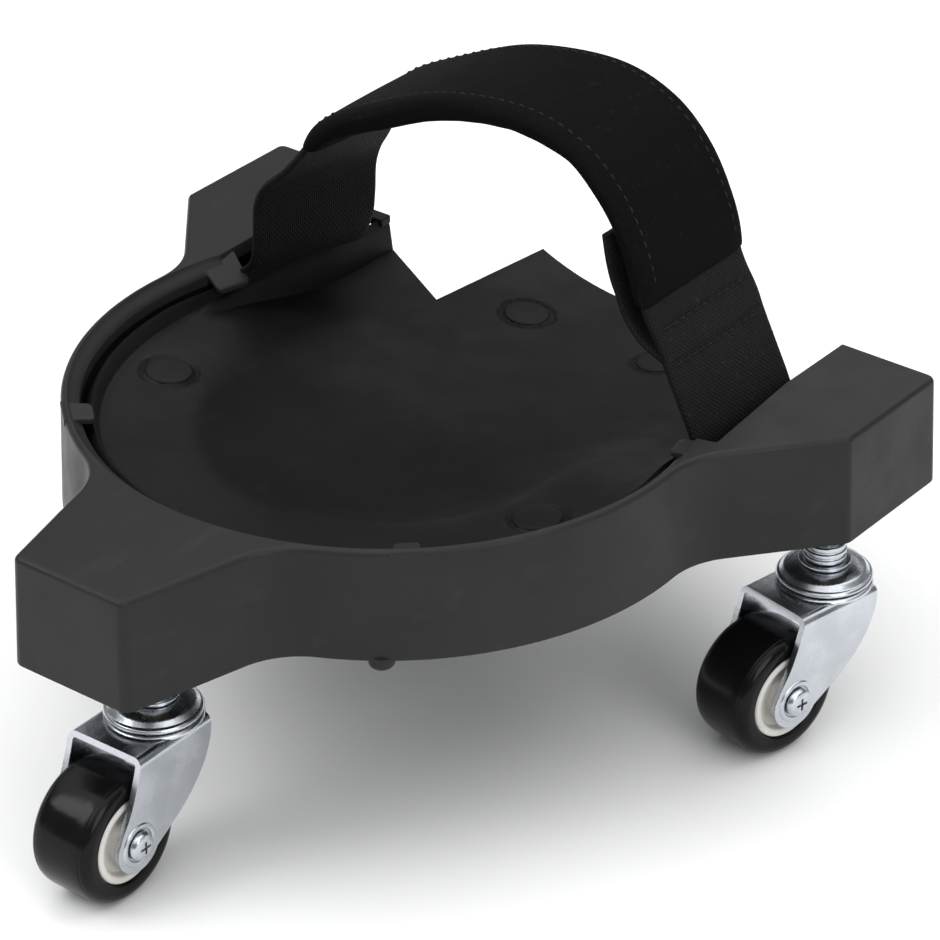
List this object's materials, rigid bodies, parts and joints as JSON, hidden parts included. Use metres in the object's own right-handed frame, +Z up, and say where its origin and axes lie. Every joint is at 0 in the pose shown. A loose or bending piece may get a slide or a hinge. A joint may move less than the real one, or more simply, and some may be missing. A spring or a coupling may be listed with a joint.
{
  "type": "rolling knee creeper",
  "caption": "Rolling knee creeper: moulded three-arm cradle on swivel casters, with a rubber knee cup and a padded calf strap.",
  "frame": {"origin": "on the floor, under the middle of the bounding box", "axes": "+Z up from the floor to the strap; +Y from the nose arm to the tongue that the shin leaves over; +X to the right arm, seen from the nose looking along +Y"},
  "size_m": [0.2626, 0.2936, 0.1955],
  "materials": {
    "cradle_plastic": "satin moulded",
    "cup_rubber": "satin moulded",
    "sleeve_fabric": "matt knitted",
    "webbing": "matt woven",
    "bright_zinc": "bright zinc plated",
    "bearing_steel": "ground",
    "brass": "turned",
    "hub_plastic": "moulded",
    "tyre_polyurethane": "glossy"
  },
  "bodies": {
    "root": {"cradle_shell": "cradle_plastic", "knee_cup": "cup_rubber", "cup_peg_left": "cup_rubber", "cup_peg_right": "cup_rubber", "tongue_peg_left": "cup_rubber", "tongue_peg_right": "cup_rubber", "strap_sleeve": "sleeve_fabric", "webbing_left": "webbing", "webbing_right": "webbing", "strap_bar_left": "bearing_steel", "strap_bar_right": "bearing_steel", "nose_threaded_insert": "brass", "nose_stem": "bright_zinc", "nose_stem_nut": "bright_zinc", "nose_stem_washer": "bright_zinc", "nose_upper_race": "bright_zinc", "right_threaded_insert": "brass", "right_stem": "bright_zinc", "right_stem_nut": "bright_zinc", "right_stem_washer": "bright_zinc", "right_upper_race": "bright_zinc", "left_threaded_insert": "brass", "left_stem": "bright_zinc", "left_stem_nut": "bright_zinc", "left_stem_washer": "bright_zinc", "left_upper_race": "bright_zinc"},
    "nose_swivel": {"nose_fork": "bright_zinc", "nose_ball_ring": "bearing_steel", "nose_lower_race": "bright_zinc", "nose_axle_bolt": "bright_zinc", "nose_axle_nut": "bright_zinc", "nose_wheel_bush": "bearing_steel"},
    "nose_wheel": {"nose_hub": "hub_plastic", "nose_tyre": "tyre_polyurethane"},
    "right_swivel": {"right_fork": "bright_zinc", "right_ball_ring": "bearing_steel", "right_lower_race": "bright_zinc", "right_axle_bolt": "bright_zinc", "right_axle_nut": "bright_zinc", "right_wheel_bush": "bearing_steel"},
    "right_wheel": {"right_hub": "hub_plastic", "right_tyre": "tyre_polyurethane"},
    "left_swivel": {"left_fork": "bright_zinc", "left_ball_ring": "bearing_steel", "left_lower_race": "bright_zinc", "left_axle_bolt": "bright_zinc", "left_axle_nut": "bright_zinc", "left_wheel_bush": "bearing_steel"},
    "left_wheel": {"left_hub": "hub_plastic", "left_tyre": "tyre_polyurethane"}
  },
  "joints": [
    {"name": "nose_swivel_turn", "type": "hinge", "parent": "root", "child": "nose_swivel", "pos_m": [0, -0.1021, 0.05], "axis": [0, 0, 1], "continuous": true},
    {"name": "nose_wheel_roll", "type": "hinge", "parent": "nose_swivel", "child": "nose_wheel", "pos_m": [0.00026, -0.1265, 0.0205], "axis": [0.9999, 0.0105, 0], "continuous": true},
    {"name": "right_swivel_turn", "type": "hinge", "parent": "root", "child": "right_swivel", "pos_m": [0.1137, 0.0783, 0.05], "axis": [0, 0, 1], "continuous": true},
    {"name": "right_wheel_roll", "type": "hinge", "parent": "right_swivel", "child": "right_wheel", "pos_m": [0.10892, 0.05437, 0.0205], "axis": [0.9806, -0.1959, 0], "continuous": true},
    {"name": "left_swivel_turn", "type": "hinge", "parent": "root", "child": "left_swivel", "pos_m": [-0.1137, 0.0783, 0.05], "axis": [0, 0, 1], "continuous": true},
    {"name": "left_wheel_roll", "type": "hinge", "parent": "left_swivel", "child": "left_wheel", "pos_m": [-0.10946, 0.05427, 0.0205], "axis": [0.9848, 0.1736, 0], "continuous": true}
  ]
}
